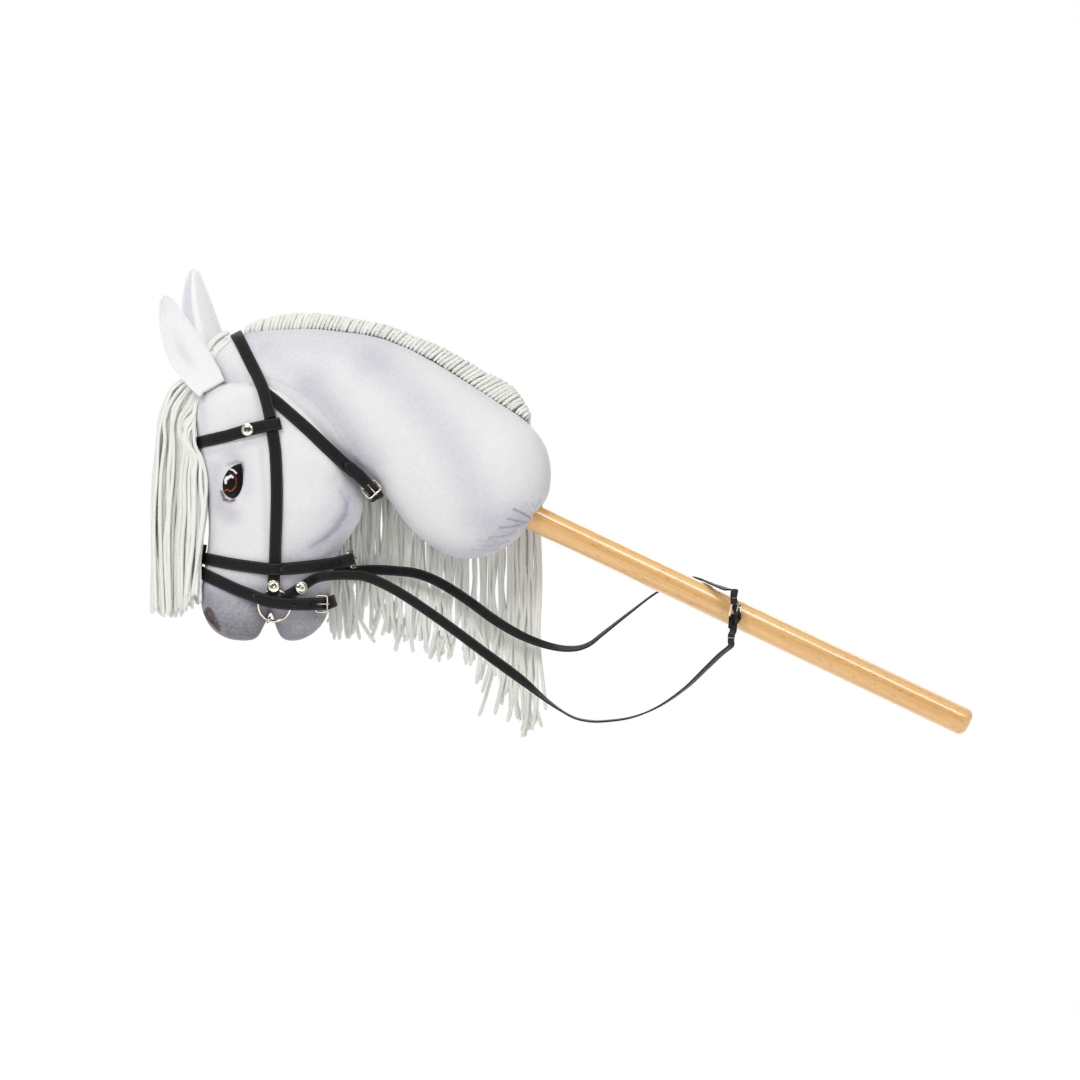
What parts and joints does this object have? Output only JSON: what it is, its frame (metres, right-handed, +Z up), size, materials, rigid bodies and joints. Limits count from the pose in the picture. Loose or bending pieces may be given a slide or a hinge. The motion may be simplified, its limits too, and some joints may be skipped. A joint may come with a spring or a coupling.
{
  "type": "hobby horse",
  "caption": "Toy horse's stuffed head and neck on a round wooden stick, with a yarn mane, a black leather bridle with buckles and studs, a ring bit and long reins.",
  "frame": {"origin": "on the stick's axis, where the hand that holds the toy closes round it", "axes": "+Z is up as the toy hangs in the picture; the horse faces -X; its left side, the one in view, faces -Y; the stick runs down towards +X at 25.5 degrees below level"},
  "size_m": [0.8206, 0.1239, 0.4622],
  "materials": {
    "beech": "satin varnish",
    "cloth": "white cloth, stuffed, with airbrushed lilac-grey shading",
    "yarn": "cream-white wool yarn",
    "leather": "black, fine-grained, with stitched edges",
    "nickel": "polished nickel plate",
    "printed_eye": "printed, slightly glossy"
  },
  "bodies": {
    "horse": {"stick": "beech", "head": "cloth", "neck": "cloth", "ear_left": "cloth", "eye_left": "printed_eye", "ear_right": "cloth", "eye_right": "printed_eye", "throatlatch_left": "leather", "throatlatch_right": "leather", "throatlatch_buckle": "nickel", "cheekpiece_left": "leather", "cheek_stud_left": "nickel", "rein_loop_left": "leather", "rein_stud_left": "nickel", "cheekpiece_right": "leather", "cheek_stud_right": "nickel", "rein_loop_right": "leather", "rein_stud_right": "nickel", "browband": "leather", "browband_stud_left": "nickel", "browband_stud_right": "nickel", "headpiece": "leather", "noseband": "leather", "noseband_buckle": "nickel", "flash_strap": "leather", "flash_buckle": "nickel", "nose_keeper": "leather", "bit_mouthpiece": "nickel", "forelock": "yarn", "mane_crest": "yarn", "poll_tuft": "yarn", "mane_fall": "yarn", "rein_tab": "leather", "rein_billet": "leather", "rein_buckle": "nickel", "rein_left": "leather", "rein_right": "leather"},
    "near_ring": {"bit_ring_left": "nickel"},
    "far_ring": {"bit_ring_right": "nickel"},
    "throatlatch_tongue": {"throatlatch_prong": "nickel"},
    "noseband_tongue": {"noseband_prong": "nickel"},
    "flash_tongue": {"flash_prong": "nickel"},
    "rein_tongue": {"rein_prong": "nickel"}
  },
  "joints": [
    {"name": "near_ring_turn", "type": "hinge", "parent": "horse", "child": "near_ring", "pos_m": [-0.326, -0.04017, -0.0565], "axis": [0, -0.9613, -0.2756], "continuous": true},
    {"name": "far_ring_turn", "type": "hinge", "parent": "horse", "child": "far_ring", "pos_m": [-0.326, 0.04017, -0.0565], "axis": [0, -0.9613, 0.2756], "continuous": true},
    {"name": "throatlatch_tongue_lift", "type": "hinge", "parent": "horse", "child": "throatlatch_tongue", "pos_m": [-0.23306, -0.03136, 0.06409], "axis": [-0.7395, -0.0533, -0.671], "range_deg": [0, 40]},
    {"name": "noseband_tongue_lift", "type": "hinge", "parent": "horse", "child": "noseband_tongue", "pos_m": [-0.25156, -0.02524, -0.01066], "axis": [0.2545, -0.0003, -0.9671], "range_deg": [0, 40]},
    {"name": "flash_tongue_lift", "type": "hinge", "parent": "horse", "child": "flash_tongue", "pos_m": [-0.28496, -0.0313, -0.05474], "axis": [-0.0229, 0.0607, -0.9979], "range_deg": [0, 40]},
    {"name": "rein_tongue_lift", "type": "hinge", "parent": "horse", "child": "rein_tongue", "pos_m": [0.13288, -0.02622, -0.06764], "axis": [0.5983, 0.8005, -0.0348], "range_deg": [0, 40]}
  ]
}
